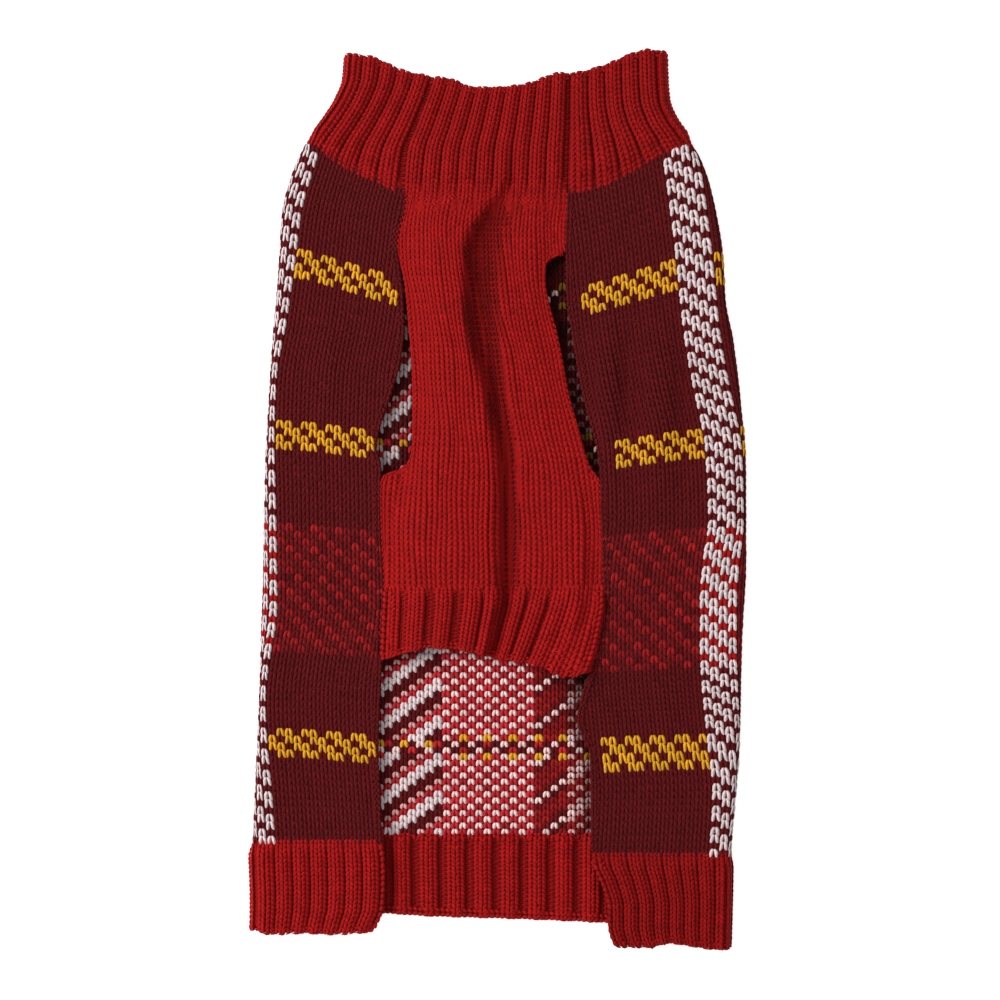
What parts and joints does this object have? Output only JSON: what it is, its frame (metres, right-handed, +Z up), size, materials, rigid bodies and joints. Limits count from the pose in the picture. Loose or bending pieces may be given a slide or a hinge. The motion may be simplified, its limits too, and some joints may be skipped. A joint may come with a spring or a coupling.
{
  "type": "dog sweater",
  "caption": "Knitted dog sweater laid flat, belly side up: a plaid body panel round a plain red belly panel, with ribbed neck and hems and two leg openings.",
  "frame": {"origin": "centre of the footprint, on the surface that the back lies on", "axes": "+Z up out of the belly side, +Y towards the neck"},
  "size_m": [0.2096, 0.3758, 0.0112],
  "materials": {
    "plaid_knit": "burgundy double knit with white, yellow and red plaid stitches, matt and slightly fuzzy",
    "red_knit": "bright red plain knit, matt acrylic yarn",
    "red_rib": "bright red two by two rib, matt acrylic yarn"
  },
  "bodies": {
    "root": {"back_panel": "plaid_knit", "flank_left": "plaid_knit", "flank_right": "plaid_knit", "belly_panel": "red_knit", "neck_back": "red_rib", "neck_left": "red_rib", "neck_right": "red_rib", "neck_belly": "red_rib", "hem_back": "red_rib", "hem_left": "red_rib", "hem_right": "red_rib", "belly_hem": "red_rib"}
  },
  "joints": []
}
